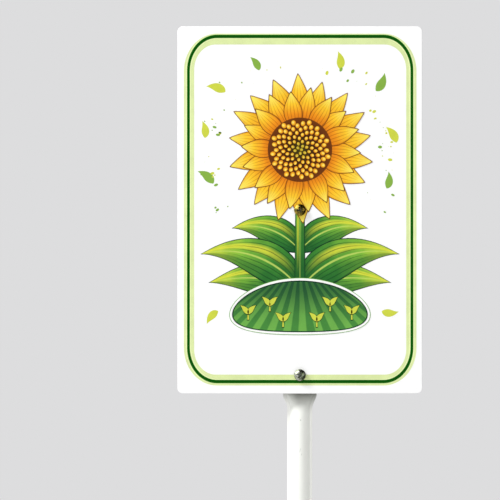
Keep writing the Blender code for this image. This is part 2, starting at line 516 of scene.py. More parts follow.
stake_finish = Finish("stake_white")
x, y, z = stake_finish.place()
front_side = y.rise(1 * MM, -1 * MM)
scuffed = 0.0
for *measures, lean in SCUFFS:
    across, height, length, width = (measure * MM for measure in measures)
    turn = radians(lean)
    along = ((x - across) * sin(turn) + (z - height) * cos(turn)) / (length / 2)
    off = ((x - across) * cos(turn) - (z - height) * sin(turn)) / (width / 2)
    scuffed = (along * along + off * off).rise(1.1, 0.3) + scuffed
scuffed = scuffed * front_side
print(len(SCUFFS), "scuffs")

# %% Stake plastic
SPECKS_A_METRE = 90
SPECK_SIZE = 0.055
# the rim's painted highlight fades in between these distances from the seam
RIM_HIGHLIGHT_START = 1.5 * MM
RIM_HIGHLIGHT_FULL = 1.1 * MM
# the painted shadow below the ledge: where it starts, where it is full, and its slant to the
# right
PAINTED_SHADOW_FOOT = 416 * MM
PAINTED_SHADOW_FULL = 441 * MM
PAINTED_SHADOW_SLANT = 7 * MM
PAINTED_SHADOW_REACH = 11 * MM
SOIL_TOP = 95 * MM
SOIL_FULL = 5 * MM

flow = stake_finish.noise(60, 3.0, (3, 3, 0.35))
grain = stake_finish.noise(1500)
inputs = {"Vector": stake_finish.node("TexCoord", output="Object"), "Scale": SPECKS_A_METRE}
from_speck = stake_finish.node("TexVoronoi", {"feature": "F1"}, inputs, "Distance")
size = SPECK_SIZE * stake_finish.noise(38, 0.0).rise(0.5, 0.75)
specks = (size - from_speck).rise(-0.012, 0.004) * size.rise(0.004, 0.02)
soil = z.rise(SOIL_TOP, SOIL_FULL) * stake_finish.noise(140, 3.0).rise(0.45, 0.75)
# painted shadow: the shade of the plate and the ledge, painted dark below the ledge
tone_share = (z - PAINTED_SHADOW_SLANT * x.rise(0, -PAINTED_SHADOW_REACH)).rise(PAINTED_SHADOW_FOOT, PAINTED_SHADOW_FULL) * front_side
tone_share = tone_share * z.rise(LEDGE + 0.3 * MM, LEDGE - 0.1 * MM)  # none above the ledge
stake_colour = stake_finish.coats(
    stake_finish.blend(flow, (0.86, 0.875, 0.82), (0.9, 0.91, 0.86)),
    # painted highlight: the rim painted paler than the body
    (abs(y).rise(RIM_HIGHLIGHT_START, RIM_HIGHLIGHT_FULL) * 0.8, (0.97, 0.975, 0.93)),
    # the painted shadow's dark colour
    (tone_share * (0.85 + 0.2 * stake_finish.noise(180, 3.0)), (0.12, 0.125, 0.1)),
    (specks * 0.45, (0.42, 0.43, 0.38)),
    (scuffed * 0.5, (0.36, 0.38, 0.34)),
    (soil * 0.12, (0.6, 0.58, 0.53)),
)
skin = 0.5 * grain + 0.5 * flow - 0.6 * scuffed
stake_finish.set(
    Base_Color=stake_colour,
    Roughness=0.42 + 0.12 * flow + 0.15 * scuffed,
    Normal=stake_finish.relief(skin, 0.06 * MM, 0.5),
)
print("finish:", stake_finish.material.name)

# %% [markdown]
# ## The plate
#
# A sheet of rigid plastic cut to a rectangle. It starts as a cube at the plate's size. The
# four edges that run through its thickness are bevelled to the corner radius first, and only
# then is the rim softened by a fine bevel, so that it follows the round corners too. Last, the
# two screw holes are drilled.

# %% Cut the plate
PLATE_CORNER = 4.5 * MM
PLATE_RIM = 0.5 * MM
PLATE_HOLE = 2.8 * MM

clean_start()
bpy.ops.mesh.primitive_cube_add(size=1, location=plate_middle)
plate = named("plate_sheet")
plate.scale = 2 * plate_half
settle(plate)
edit(plate, "EDGE")
thick = 2 * plate_half.y
corners = pick("edges", lambda edge: abs(edge.verts[0].co.y - edge.verts[1].co.y) > thick / 2)
bpy.ops.mesh.bevel(offset=PLATE_CORNER, offset_pct=0, segments=14, affect="EDGES")
modify(
    plate, "BEVEL", width=PLATE_RIM, segments=4, limit_method="ANGLE", angle_limit=radians(50)
)
for height in holes.values():
    drill(plate, PLATE_HOLE, (0, plate_middle.y, height), 4 * thick)
coat(plate, plate_finish.material)
settle(plate)
keep(plate, "plate_plastic", "sign_plate")
print(corners, "corners rounded")

# %% [markdown]
# ## Printing on the plate
#
# Ink lies on the plastic a few hundredths of a millimetre thick. Each patch of ink is drawn
# flat around the middle of the plate, as on paper, then it is given its thickness, stood
# upright and laid on the plate's face. A patch of a higher layer covers those below it, as
# paint does, and because every patch is a mesh its outline stays crisp at any size.

# %% Ink
LAYER = 0.03 * MM
SINK = 0.02 * MM
LIGHT_ON_PLATE = 1.07


def ink_tone(red, green, blue):
    """The ink that shows as this colour where the studio's light falls on the plate."""
    return tuple(level / LIGHT_ON_PLATE for level in screen(red, green, blue))


def print_grain(finish, colour):
    """Prints a colour: a fine uneven grain, and a satin gloss that varies with it."""
    grain = finish.noise(1900)
    share = 0.5 * grain + 0.5 * finish.noise(90)
    darker = finish.node("VectorMath", {"operation": "SCALE"}, {0: colour, "Scale": 0.9})
    return finish.set(
        Base_Color=finish.blend(share.rise(0.35, 0.6), darker, colour),
        Roughness=0.4 + 0.2 * grain,
        Specular_IOR_Level=0.1,
    )


def plain_ink(name, *tone):
    return print_grain(Finish(name), ink_tone(*tone))


def ink_ramp(finish, share, *stops):
    """Inks that run into each other, from stops of a place, red, green and blue."""
    return finish.ramp(share, *((place, ink_tone(*tone)) for place, *tone in stops))


# %% Laying ink on the plate


def lay_print(piece, layer):
    """Thickens a flat drawing to its layer and lays it on the plate."""
    choose(piece)
    bpy.ops.object.transform_apply(location=True, rotation=True, scale=True)
    modify(piece, "SOLIDIFY", thickness=SINK + layer * LAYER, offset=1)
    return stand(piece, (plate_middle.x, plate_front + SINK, plate_middle.z))


# %% [markdown]
# ## The border
#
# A wide pale green band, and a dark green line with a light gap on both of its sides. Where the
# line's ink spreads thin, at its edges, it has a brighter fringe. The corners are rounder than
# the plate's own and a little taller than wide. A quarter ellipse is a quarter circle
# stretched, so each outline is a plane whose corners are bevelled with radius 1 while it is
# small, and then it is stretched to its size. Two such outlines, one in the other, are bridged
# into a flat ring.

# %% Draw the rings
BORDER_SHIFT = 0.2 * MM
BAND_UP = 0.37 * MM
LINE_UP = 0.85 * MM
RINGS = {
    # ink and shift upwards, then outer and inner outline in mm: half width, half height, corner
    "border_band": ((223, 237, 170), BAND_UP, (96.5, 146, 27.3, 31.1), (88, 137, 18, 21)),
    "border_gap": ((241, 252, 188), LINE_UP, (94.8, 144.9, 25.7, 29.9), (90.5, 141.3, 21.6, 26)),
    "border_fringe":
        ((58, 136, 28), LINE_UP, (93.95, 144.7, 24.8, 29.6), (91.53, 141.8, 22.4, 27.1)),
    "border_line":
        ((0, 84, 0), LINE_UP, (93.55, 144.25, 24.4, 29.1), (91.9, 142.1, 22.8, 27.5)),
}


def card(half_wide, half_tall, corner_wide, corner_tall):
    """A flat card with elliptical corners."""
    clean_start()
    bpy.ops.mesh.primitive_plane_add(size=2)
    sheet = named("card")
    sheet.scale = (half_wide / corner_wide, half_tall / corner_tall, 1)
    settle(sheet)
    edit(sheet, "VERT", "SELECT")
    bpy.ops.mesh.bevel(offset=1, segments=18, affect="VERTICES")
    clean_start()
    sheet.scale = (corner_wide * MM, corner_tall * MM, 1)
    return settle(sheet)


def face_up(piece):
    """Turns a flat drawing's faces towards +Z."""
    edit(piece, "FACE")
    if pick("faces", lambda face: face.normal.z < 0):
        bpy.ops.mesh.flip_normals()
    clean_start()


for layer, (name, (tone, up, outer, inner)) in enumerate(RINGS.items(), 1):
    hole = card(*inner)
    ring = join(name, card(*outer), hole)
    edit(ring, "EDGE", "SELECT")
    bpy.ops.mesh.delete(type="ONLY_FACE")
    bpy.ops.mesh.select_all(action="SELECT")
    bpy.ops.mesh.bridge_edge_loops()
    face_up(ring)
    ring.location = (BORDER_SHIFT, up, 0)
    coat(ring, plain_ink(name + "_ink", *tone))
    lay_print(ring, layer)
    keep(ring, "plate_plastic")

# %% [markdown]
# ## A blade to draw with
#
# Petals, leaves, the stem and the seedlings are all one kind of shape: long, narrow and bent,
# mostly with a point. It starts as a grid. Each of its columns is resized to the width there,
# corners that meet are merged, and a Simple Deform modifier bends it. A dark outline is a
# slightly larger blade of its own ink that lies a hair lower. The grid's own unwrapping stays
# on the shape, so a finish knows how far along and across the blade each point lies.

# %% Blades
FINE = (24, 6)
COARSE = (10, 2)
NARROWEST = 0.0001


def blade(length, width, profile, inks, line=0.0, bend=0.0, grid=FINE):
    """A pointed shape from the origin along +X. A second ink makes an outline round it."""
    columns, rows = grid
    sheets = []
    for number, (ink, margin) in enumerate(zip(inks, (0.0, line))):
        clean_start()
        bpy.ops.mesh.primitive_grid_add(x_subdivisions=columns, y_subdivisions=rows, size=1)
        sheet = named("blade")
        whole = length + 4 * margin
        start = -2 * margin
        sheet.scale = (whole, width + 2 * margin, 1)
        sheet.location = (start + whole / 2, 0, -number * LAYER / len(inks))
        settle(sheet)
        edit(sheet)
        for column in range(columns + 1):
            along = column / columns
            place = start + along * whole
            bpy.ops.mesh.select_all(action="DESELECT")
            pick("verts", lambda vert: abs(vert.co.x - place) < whole / columns / 4)
            bpy.ops.transform.resize(value=(1, max(profile(along), NARROWEST), 1))
        bpy.ops.mesh.select_all(action="SELECT")
        bpy.ops.mesh.remove_doubles(threshold=0.02 * MM)
        face_up(sheet)
        turn = radians(bend) * whole / length
        modify(sheet, "SIMPLE_DEFORM", deform_method="BEND", deform_axis="Z", angle=turn)
        coat(sheet, ink)
        sheets.append(sheet)
    return join("blade", *sheets)


# %% Copies of a shape


def copies(shape, name, places, *layers):
    """Prints a shape at each place: across, up, turn in degrees, length and width share."""
    printed = []
    for number, (across, up, turn, long, wide) in enumerate(places):
        copy = twin(shape, "copy")
        copy.location = (across, up, 0)
        copy.rotation_euler.z = radians(turn)
        copy.scale = (long, wide, 1)
        settle(copy)
        face_up(copy)
        printed.append(lay_print(copy, layers[number % len(layers)]))
    discard(shape)
    keep(join(name, *printed), "plate_plastic")


def print_once(shape, name, up, layer, turn=0):
    copies(shape, name, [(0, up, turn, 1, 1)], layer)


# %% [markdown]
# ## Inks for the flower
#
# The petals run from a hot orange at the flower's middle to a bright yellow tip, with thin
# brown strokes along them. The leaves run from deep green to lime, with darker strokes along
# them and a pale rib. Strokes are a sine wave across the blade, and only its crests are inked,
# wandering a little so that they look drawn by hand.

# %% Petal ink


def strokes(finish, across, count, thin):
    """Fine lines along a blade, from 0 to 1."""
    phase = (across + 0.05 * finish.noise(70)) * (count * 2 * pi)
    return phase.math("SINE").rise(thin, 1.0)


petal_finish = Finish("petal_ink")
along, across = petal_finish.unwrapped()
shade = abs(across - 0.5).rise(0.26, 0.5)
lines = strokes(petal_finish, across, 5, 0.6) * along.rise(1.05, 0.4)
petal_colour = ink_ramp(
    petal_finish,
    along + 0.12 * petal_finish.noise(160),
    (0.15, 206, 96, 14),
    (0.42, 242, 150, 26),
    (0.72, 254, 204, 48),
    (1.0, 255, 236, 100),
)
petal_colour = petal_finish.coats(
    petal_colour, (shade * 0.45, ink_tone(224, 132, 22)), (lines * 0.6, ink_tone(164, 82, 12))
)
petal_ink = print_grain(petal_finish, petal_colour)
petal_line = plain_ink("petal_line_ink", 112, 60, 14)
print("inks:", petal_ink.name, petal_line.name)

# %% Leaf ink
leaf_finish = Finish("leaf_ink")
along, across = leaf_finish.unwrapped()
glow = abs(across - 0.74).rise(0.16, 0.02) * along.rise(0.12, 0.5)
under = across.rise(0.42, 0.2)
lines = strokes(leaf_finish, across, 8, 0.7) * along.rise(1.0, 0.5)
rib = abs(across - 0.5).rise(0.035, 0.015)
leaf_colour = ink_ramp(
    leaf_finish,
    along + 0.2 * leaf_finish.noise(90) - 0.1,
    (0.05, 20, 84, 38),
    (0.35, 62, 136, 50),
    (0.65, 126, 186, 62),
    (0.95, 214, 224, 72),
)
leaf_colour = leaf_finish.coats(
    leaf_colour,
    (glow * 0.75, ink_tone(232, 228, 66)),
    (under * 0.6, ink_tone(34, 104, 46)),
    (lines * 0.7, ink_tone(14, 66, 34)),
    (rib * 0.8, ink_tone(198, 222, 104)),
)
leaf_ink = print_grain(leaf_finish, leaf_colour)
leaf_line = plain_ink("leaf_line_ink", 14, 56, 34)
print("inks:", leaf_ink.name, leaf_line.name)

# %% [markdown]
# ## The printed picture
#
# Signs like this carry a bright garden picture. This one is a plain sunflower on a hill. The
# petals stand in two rings with an even number in each, so that every second one can lie on
# top. A petal is drawn once and copied round the head, with small differences in turn and
# length as in a real flower.

# %% Petals
HEAD_UP = 50 * MM
PETAL_FOOT = 20 * MM
PETAL_LINE = 0.55 * MM
PETALS = 18
PETAL_RINGS = (
    # name, length and width in mm, bend, turn of the first petal, layers
    ("outer_petals", 41, 17, 6, 10, (7, 8)),
    ("inner_petals", 30, 14.5, -5, 0, (9, 10)),
)
chance = Random(7)


def petal_width(along):
    return (0.45 + 0.55 * sin(pi * min(along / 0.95, 1) ** 0.9)) * (1 - along**4) ** 0.65


def from_head(away, turn):
    """How far across and up a place is that lies away from the flower's head at a turn."""
    return away * cos(radians(turn)), HEAD_UP + away * sin(radians(turn))


for name, length, width, bend, first, layers in PETAL_RINGS:
    inks = (petal_ink, petal_line)
    petal = blade(length * MM, width * MM, petal_width, inks, PETAL_LINE, bend)
    places = []
    for number in range(PETALS):
        turn = first + 360 * number / PETALS + chance.uniform(-2.2, 2.2)
        size = (chance.uniform(0.93, 1.06), chance.uniform(0.94, 1.08))
        places.append((*from_head(PETAL_FOOT, turn), turn, *size))
    copies(petal, name, places, *layers)

# %% [markdown]
# The middle of the head is a dark disc full of seeds. Seeds grow at the golden angle from each
# other, which packs them evenly and makes the two sets of spirals that sunflowers show.

# %% Seed inks
DISC_RADIUS = 26 * MM


def head_share(finish):
    """The distance from the middle of the flower's head, 1 at the edge of its disc."""
    x, y, z = finish.place()
    up = z - (plate_middle.z + HEAD_UP)
    return (x * x + up * up) ** 0.5 / DISC_RADIUS


disc_finish = Finish("disc_ink")
disc_colour = ink_ramp(
    disc_finish, head_share(disc_finish), (0.0, 58, 58, 16), (0.5, 74, 36, 10), (1.0, 112, 56, 14)
)
disc_ink = print_grain(disc_finish, disc_colour)

seed_finish = Finish("seed_ink")
along, across = seed_finish.unwrapped()
shine = ((along - 0.6) ** 2 + (across - 0.6) ** 2) ** 0.5
seed_colour = ink_ramp(
    seed_finish, shine, (0.05, 255, 236, 120), (0.3, 252, 192, 46), (0.6, 214, 122, 18)
)
green_heart = head_share(seed_finish).rise(0.45, 0.1) * 0.6
seed_colour = seed_finish.blend(green_heart, seed_colour, ink_tone(160, 164, 38))
seed_ink = print_grain(seed_finish, seed_colour)
print("inks:", disc_ink.name, seed_ink.name)

# %% Seeds
SEEDS = 104
SEED_RADIUS = 2.2 * MM
SEEDS_WITHIN = DISC_RADIUS - 2 * MM
DISC_LINE = 0.7 * MM
GOLDEN_ANGLE = 137.508


def round_patch(radius, ink, corners):
    patch = round_sheet("patch", radius, corners)
    coat(patch, ink)
    return patch


print_once(round_patch(DISC_RADIUS + DISC_LINE, petal_line, 72), "disc_line", HEAD_UP, 11)
print_once(round_patch(DISC_RADIUS, disc_ink, 72), "flower_disc", HEAD_UP, 12)
places = []
for number in range(SEEDS):
    share = (number + 0.5) / SEEDS
    turn = number * GOLDEN_ANGLE
    size = 0.62 + 0.42 * share
    places.append((*from_head(SEEDS_WITHIN * share**0.56, turn), turn, size, 0.86 * size))
copies(round_patch(SEED_RADIUS, seed_ink, 14), "flower_seeds", places, 13)

# %% [markdown]
# The stem and leaves come lower in the stack than the petals, so that the flower lies over
# them. The two leaves of a pair are one leaf and its mirror image.

# %% Stem and leaves
STEM_FOOT = -70 * MM
STEM_WIDTH = 8 * MM
STEM_LINE = 0.6 * MM
LEAF_LINE = 0.65 * MM
LEAVES = (
    # name, place upwards in mm, turn, length and width in mm, bend, layer
    ("low_leaves", -64, 20, 76, 25, -34, 2),
    ("middle_leaves", -66, 54, 92, 30, -68, 4),
    ("high_leaves", -34, 52, 62, 23, -66, 3),
)


def stem_width(along):
    return 1.0 - 0.25 * along


def leaf_width(along):
    return sin(pi * along**0.72) ** 1.15 + 0.1 * (1 - along)


leaf_inks = (leaf_ink, leaf_line)
stem = blade(HEAD_UP - STEM_FOOT, STEM_WIDTH, stem_width, leaf_inks, STEM_LINE)
print_once(stem, "flower_stem", STEM_FOOT, 5, 90)
for name, up, turn, length, width, bend, layer in LEAVES:
    leaf = blade(length * MM, width * MM, leaf_width, leaf_inks, LEAF_LINE, bend)
    copies(leaf, name, [(0, up * MM, turn, 1, 1), (0, up * MM, 180 - turn, 1, -1)], layer)

# %% [markdown]
# Under the flower lies a hill: a round patch, stretched and bent downwards. Its furrows run
# together towards a far point, so they are stripes at equal steps of slope from that point. It
# has a dark outline, a white one and a thin green one, which are larger hills below it.

# %% Hill ink
HILL_UP = -80 * MM
FAR_POINT_UP = 40 * MM
FURROWS = 4.5

hill_finish = Finish("hill_ink")
x, y, z = hill_finish.place()
below = (plate_middle.z + HILL_UP + FAR_POINT_UP) - z
wave = x / below * (2 * pi * FURROWS) + 0.8 * hill_finish.noise(60)
furrow = wave.math("SINE").rise(-0.3, 0.3)
down = below.rise(20 * MM, 60 * MM)
ridge = ink_ramp(hill_finish, down, (0.0, 54, 110, 56), (1.0, 112, 178, 78))
valley = ink_ramp(hill_finish, down, (0.0, 34, 84, 50), (1.0, 72, 140, 62))
hill_ink = print_grain(hill_finish, hill_finish.blend(furrow, valley, ridge))
print("ink:", hill_ink.name)

# %% Hill
HILL_LONG = 112 * MM
HILL_TALL = 41 * MM
HILL_BEND = -38
HILL_PARTS = (
    # name, ink, margin, layer
    ("hill_edge", plain_ink("thin_green_ink", 108, 168, 70), 3.3 * MM, 5.25),
    ("hill_white", plain_ink("white_ink", 252, 253, 250), 2.8 * MM, 5.5),
    ("hill_line", leaf_line, 1.0 * MM, 5.75),
    ("hill", hill_ink, 0, 6),
)

for name, ink, margin, layer in HILL_PARTS:
    patch = round_patch(1, ink, 120)
    patch.scale = (HILL_LONG / 2 + margin, HILL_TALL / 2 + margin, 1)
    settle(patch)
    bend = radians(HILL_BEND) * (HILL_LONG + 2 * margin) / HILL_LONG
    modify(patch, "SIMPLE_DEFORM", deform_method="BEND", deform_axis="Z", angle=bend)
    print_once(patch, name, HILL_UP, layer)

# %% [markdown]
# Seedlings stand on the hill, each a pair of small leaves, and loose leaves and drops of ink
# lie around the flower. The drops are placed by chance in a wide ring round the head, from a
# fixed seed, so that every run prints the same sign.

# %% Seedlings
SEEDLINGS = ((-43, -91), (-25, -84), (25, -84), (43, -91), (-14, -97), (14, -97))
SPROUT_UP = 4.5
SPROUT_LINE = 0.35 * MM

lime_ink = plain_ink("lime_ink", 208, 216, 74)
olive_ink = plain_ink("olive_ink", 136, 178, 72)
sprout_inks = (lime_ink, leaf_line)
sprout_stem = blade(6 * MM, 1.3 * MM, stem_width, sprout_inks, SPROUT_LINE, grid=COARSE)
places = [(across * MM, up * MM, 90, 1, 1) for across, up in SEEDLINGS]
copies(sprout_stem, "seedling_stems", places, 8)
sprout = blade(10 * MM, 3.9 * MM, leaf_width, sprout_inks, SPROUT_LINE, -34, COARSE)
places = [
    (across * MM, (up + SPROUT_UP) * MM, turn, 1, side)
    for across, up in SEEDLINGS
    for turn, side in ((66, 1), (114, -1))
]
copies(sprout, "seedlings", places, 9)

# %% Loose leaves and drops
LOOSE_LEAVES = {
    # colour: across, up, turn, size
    "olive": ((-72, 22, 118, 1.0), (-34, 116, 100, 0.8), (63, 99, 40, 1.0), (72, 18, 60, 0.85)),
    "lime": (
        (-79, 60, 75, 0.85), (-62, 98, 140, 1.0), (33, 117, 72, 0.9),
        (80, 56, 100, 0.95), (-68, -84, 205, 0.85), (68, -84, -25, 0.85),
    ),
}
DROPS = 32
DROP_RADIUS = 1.3 * MM
NEAREST, FURTHEST = 66, 88
INSIDE_BORDER = (82 * MM, 124 * MM)

for (colour, leaves), ink in zip(LOOSE_LEAVES.items(), (olive_ink, lime_ink)):
    loose = blade(17 * MM, 7 * MM, leaf_width, (ink,), bend=48, grid=(16, 2))
    places = [(across * MM, up * MM, turn, size, size) for across, up, turn, size in leaves]
    copies(loose, colour + "_leaves", places, 1)
    places = []
    while len(places) < DROPS:
        turn = chance.uniform(-40, 220)
        across, up = from_head(chance.uniform(NEAREST, FURTHEST) * MM, turn)
        size = chance.uniform(0.3, 1.0) ** 2
        if abs(across) < INSIDE_BORDER[0] and up < INSIDE_BORDER[1]:
            places.append((across, up, turn, size * chance.uniform(1, 1.8), size))
    copies(round_patch(DROP_RADIUS, ink, 12), colour + "_drops", places, 2)

# %% [markdown]
# ## The stake
#
# One moulding, from tip to top: a blunt tip, a spade point, a shaft whose front is flat below
# and round above, a shoulder, and a flat tab with a crisp ledge under its front. A thin rim
# runs down both sides where the two halves of the mould met.
#
# Such a shape is a loft through cross-sections. By hand it is made from a filled circle: laid
# on the outline of the tip, then extruded upwards again and again, each time laid on the
# outline of the next height. One function gives that outline for any height, from widths and
# depths that ease from one part of the stake to the next.

# %% The stake's measures
TIP_WIDTH = 2.6 * MM
TIP_DEPTH = 1.3 * MM
SPADE_WIDTH = 28 * MM
SPADE_DEPTH = 3.6 * MM
SPADE_RIM = 0.6 * MM
POINT_HEIGHT = 18.5 * MM
FLARE_LENGTH = 38 * MM
FLARE_TOP = POINT_HEIGHT + FLARE_LENGTH
SHAFT_WIDTH = 20.8 * MM
SHAFT_FRONT = 6.2 * MM
SHAFT_BACK = 4.4 * MM
SHAFT_START = FLARE_TOP + FLARE_LENGTH
RIM = 2 * MM
RIM_HALF = 1 * MM
RIM_SOFT = 0.35 * MM
RIM_AT_TIP = 0.3  # share of its thickness that the rim has at the tip
LEAST_RIM = 0.1 * MM
FLAT_SHARE = 0.68
FLAT_END = 290 * MM
ROUND_START = 335 * MM
TAB_WIDTH = stake_high.x - stake_low.x
TAB_DEPTH = stake_high.y
TAB_RIM = 1.8 * MM
SIDE_SLOPE = 0.5 * MM
BACK_CHAMFER = 1.2 * MM
CHAMFER_ROUND = 0.3
SHOULDER_TOP = LEDGE - 4.6 * MM
SHOULDER_FOOT = SHOULDER_TOP - 11.5 * MM
SCOOP_START = LEDGE - 24 * MM
SCOOP_DEPTH = 2.6 * MM
STAKE_TOP = stake_high.z
FRONT_STEPS = 16
ARC_HALF = radians(64)
MOST_SHARE = 0.3  # of its place that a softened corner may take

print("ledge at", round(LEDGE, 4), "and top at", round(STAKE_TOP, 4))

# %% The stake's widths and depths


def mix(a, b, share):
    return a + (b - a) * share


def ease(value, low, high):
    """0 below low and 1 above high, smooth between."""
    share = min(max((value - low) / (high - low), 0.0), 1.0)
    return share * share * (3 - 2 * share)


def stake_half_width(height):
    if height <= POINT_HEIGHT:
        return mix(TIP_WIDTH, SPADE_WIDTH, height / POINT_HEIGHT) / 2
    flare = 1 - ease(height, POINT_HEIGHT - FLARE_LENGTH, FLARE_TOP)
    width = SHAFT_WIDTH + 2 * flare * (SPADE_WIDTH - SHAFT_WIDTH)
    return mix(width, TAB_WIDTH, ease(height, SHOULDER_FOOT, SHOULDER_TOP)) / 2


def stake_depths(height, tab):
    if tab:
        return TAB_DEPTH, TAB_DEPTH
    if height < POINT_HEIGHT:
        depth = mix(TIP_DEPTH, SPADE_DEPTH, height / POINT_HEIGHT)
        return depth, depth
    slim = ease(height, POINT_HEIGHT, SHAFT_START)
    front = mix(SPADE_DEPTH, SHAFT_FRONT, slim)
    back = mix(SPADE_DEPTH, SHAFT_BACK, slim)
    front = mix(front, SCOOP_DEPTH, ease(height, SCOOP_START, LEDGE))
    back = mix(back, TAB_DEPTH, ease(height, SHOULDER_FOOT, LEDGE))
    return front, back


# %% The stake's outline


def front_point(share, core, flat, edge, front, roundness):
    """A point of the front outline, from -1 at its left foot to 1 at its right foot."""
    side = -1 if share < 0 else 1
    along = abs(share)
    if along <= 0.5:
        flat_x, flat_y = 2 * along * flat, front
    else:
        flat_x = mix(flat, core, 2 * along - 1)
        flat_y = mix(front, edge, 2 * along - 1)
    arc = along * ARC_HALF
    round_x = core * sin(arc) / sin(ARC_HALF)
    round_y = edge + (front - edge) * (cos(arc) - cos(ARC_HALF)) / (1 - cos(ARC_HALF))
    return side * mix(flat_x, round_x, roundness), -mix(flat_y, round_y, roundness)


def mirrored(points):
    return [(-x, y) for x, y in reversed(points)]


def stake_outline(height, tab=False, inset=0.0, lip=0.0):
    """The outline at one height, anticlockwise from above, each corner softened.

    It goes across the front, round the rim, which is edge to each side of the mould's seam,
    and back along the core, the part between the two rims."""
    wide = stake_half_width(height)
    edge = RIM_HALF * min(1.0, mix(RIM_AT_TIP, 1.0, height / POINT_HEIGHT))
    front, back = stake_depths(height, tab)
    front -= lip
    if tab:
        core = wide - TAB_RIM
        flat = core - SIDE_SLOPE
        roundness = 0.0
    else:
        spade_left = ease(height, POINT_HEIGHT, FLARE_TOP)
        neck = ease(height, SHOULDER_FOOT, LEDGE)
        rim = mix(SPADE_RIM, RIM, spade_left) * min(1.0, height / POINT_HEIGHT)
        core = wide - max(mix(rim, TAB_RIM, neck), LEAST_RIM)
        slope = mix(SIDE_SLOPE, (1 - FLAT_SHARE) * core, spade_left)
        flat = core - min(mix(slope, SIDE_SLOPE, neck), MOST_SHARE * core)
        roundness = ease(height, FLAT_END, ROUND_START) * (1 - neck)
    soft = min(RIM_SOFT, MOST_SHARE * edge)
    cut = min(BACK_CHAMFER, MOST_SHARE * core)
    steps = range(-FRONT_STEPS, FRONT_STEPS + 1)
    fronts = [front_point(n / FRONT_STEPS, core, flat, edge, front, roundness) for n in steps]
    side = [(wide - soft, -edge), (wide, -edge + soft)]
    behind = [(wide, edge - soft), (wide - soft, edge), (core, edge), (core, back - cut)]
    behind += [(core - CHAMFER_ROUND * cut, back - CHAMFER_ROUND * cut), (core - cut, back)]
    points = mirrored(side) + fronts + side + behind + mirrored(behind)
    shrink_x = (wide - inset) / wide
    shrink_y = (max(front, back) - inset) / max(front, back)
    return [(x * shrink_x, y * shrink_y) for x, y in points]


CORNERS = len(stake_outline(STAKE_TOP))
print("corners in each outline:", CORNERS)

# %% [markdown]
# An extrusion keeps the end face selected, so its corners can be laid on the next outline. The
# order of a mesh's corners isn't the order round the face, so the ring is read from the face
# itself, and it starts at the corner that the last outline started at: otherwise the shape
# would be twisted. A last ring a little inside each end keeps the end flat, and poking it closes
# it with a fan of triangles.

# %% Lay an end on an outline


def lay_on(outline, height, last_start):
    """Moves the corners of the selected end onto an outline, from the corner it started at."""
    mesh = bmesh.from_edit_mesh(bpy.context.object.data)
    ring = [face for face in mesh.faces if face.select][0].verts[:]
    start = min(ring, key=lambda vert: (vert.co.xy - last_start).length)
    first = ring.index(start)
    for vert, (x, y) in zip(ring[first:] + ring[:first], outline):
        vert.co = (x, y, height)
    bmesh.update_edit_mesh(bpy.context.object.data)
    return Vector(outline[0])


# %% List the levels
LIP = 0.35 * MM
TIP_SOFT = 0.35 * MM
TIP_INSETS = (0.4 * MM, 0.25 * MM)
TOP_SOFT = 0.9 * MM
TOP_BEND = 0.3 * MM
TOP_LAST = 1.3 * MM
STRETCHES = (
    # from, to, levels
    (1.2 * MM, POINT_HEIGHT, 8),
    (POINT_HEIGHT, FLARE_TOP, 16),
    (FLARE_TOP, SHAFT_START, 6),
    (SHAFT_START, FLAT_END, 4),
    (FLAT_END, ROUND_START, 12),
    (ROUND_START, SCOOP_START, 3),
    (SCOOP_START, LEDGE, 30),
)
TAB_LEVELS = (
    # height, inset, and how far the ledge's lip is set back
    (LEDGE, 0, LIP),
    (LEDGE + 0.3 * LIP, 0, 0.3 * LIP),
    (LEDGE + LIP, 0, 0),
    (STAKE_TOP - TOP_SOFT, 0, 0),
    (STAKE_TOP - TOP_BEND, TOP_BEND, 0),
    (STAKE_TOP, TOP_SOFT, 0),
    (STAKE_TOP, TOP_LAST, 0),
)

levels = [(0, False, inset) for inset in TIP_INSETS] + [(TIP_SOFT,)]
for low, high, count in STRETCHES:
    levels += [(mix(low, high, step / count),) for step in range(count)]
levels.append((LEDGE,))
levels += [(height, True, inset, lip) for height, inset, lip in TAB_LEVELS]
print(len(levels), "levels")

# %% Draw the stake
stake = round_sheet("stake_moulding", TIP_WIDTH, CORNERS)
edit(stake, "FACE", "SELECT")
start = lay_on(stake_outline(*levels[0]), levels[0][0], Vector((-TIP_WIDTH, 0)))
for level in levels[1:]:
    bpy.ops.mesh.extrude_region_move(TRANSFORM_OT_translate={"value": (0, 0, 0.1 * MM)})
    start = lay_on(stake_outline(*level), level[0], start)
bpy.ops.mesh.select_all(action="SELECT")
bpy.ops.mesh.remove_doubles(threshold=0.001 * MM)
bpy.ops.mesh.normals_make_consistent(inside=False)
bpy.ops.mesh.select_all(action="DESELECT")
ends = pick("faces", lambda face: len(face.verts) > 4)
bpy.ops.mesh.poke(center_mode="BOUNDS")
clean_start()
print("stake:", ends, "ends and", len(stake.data.polygons), "faces")

# %% [markdown]
# The tab takes the screws in a round hole and, above it, an upright slot, which forgives a
# plate whose holes are a little off. Pins push the moulding out of its mould and leave shallow
# round marks down its back: the same drill makes them, a hair deep.

# %% Drill the tab and mark the pins
PIN_RADIUS = 2.6 * MM
PIN_DEPTH = 0.15 * MM
PIN_HEIGHTS = (118 * MM, 262 * MM, 398 * MM, 519 * MM)
TAB_HOLE = 3 * MM
SLOT_TRAVEL = 3 * MM

for height in PIN_HEIGHTS:
    back = stake_depths(height, height > LEDGE)[1]
    drill(stake, PIN_RADIUS, (0, back, height), 2 * PIN_DEPTH, 32)
for which, travel in (("lower", 0), ("upper", SLOT_TRAVEL)):
    drill(stake, TAB_HOLE, (0, 0, holes[which]), 4 * TAB_DEPTH, travel=travel)
coat(stake, stake_finish.material)
settle(stake, 32)
keep(stake, "stake_plastic", "stake")

# %% [markdown]
# ## Screws
#
# Pan-head machine screws. A screw is turned: circles are extruded one after the other along
# its axis, each resized to the radius there. The crown of the head is part of a sphere.

# %% Turning


